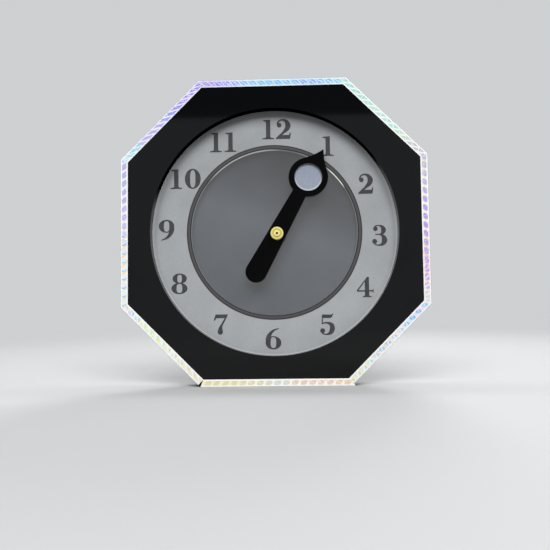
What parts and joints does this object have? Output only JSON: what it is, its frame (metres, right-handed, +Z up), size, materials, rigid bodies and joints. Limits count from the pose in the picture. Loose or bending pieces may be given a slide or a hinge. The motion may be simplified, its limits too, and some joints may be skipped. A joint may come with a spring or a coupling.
{
  "type": "mystery clock",
  "caption": "Eight-sided black clock case with a frosted hour ring round a clear window; one hand turns on a clear disc held at its hidden rim.",
  "frame": {"origin": "middle of the bottom edge, half way through the case", "axes": "+Z up, front towards -Y, +X to the right seen from the front"},
  "size_m": [0.3048, 0.0267, 0.3048],
  "materials": {
    "panel_black": "gloss black acrylic sheet",
    "frame_black": "satin black board",
    "dial_frosted": "frosted pale acrylic with a polished edge",
    "print_grey": "dark warm grey vinyl",
    "tape_prismatic": "metallised prismatic film",
    "glide_white": "slippery white film",
    "screw_black": "black plated steel",
    "rotor_clear": "clear acrylic with a smoke tint",
    "hand_black": "black acrylic with eased edges",
    "disc_silver": "satin bright disc",
    "brass": "bright turned brass",
    "spacer_black": "black tube",
    "washer_steel": "plain steel"
  },
  "bodies": {
    "case": {"front_panel": "panel_black", "back_frame": "frame_black", "dial_plate": "dial_frosted", "dial_border": "print_grey", "front_glide_ring": "glide_white", "rear_glide_ring": "glide_white", "retainer_ring": "frame_black", "case_screws": "screw_black", "retainer_screws": "screw_black", "tape_top": "tape_prismatic", "tape_upper_right": "tape_prismatic", "tape_right": "tape_prismatic", "tape_lower_right": "tape_prismatic", "tape_bottom": "tape_prismatic", "tape_lower_left": "tape_prismatic", "tape_left": "tape_prismatic", "tape_upper_left": "tape_prismatic"},
    "hand_body": {"rotor_disc": "rotor_clear", "hand": "hand_black", "eye_disc": "disc_silver", "hub_spacer": "spacer_black", "pivot_washer": "washer_steel", "pivot_screw": "brass", "thumb_nut": "brass"}
  },
  "joints": [
    {"name": "hand_turn", "type": "hinge", "parent": "case", "child": "hand_body", "pos_m": [0.003, 0, 0.1494], "axis": [0, 1, 0], "continuous": true}
  ]
}
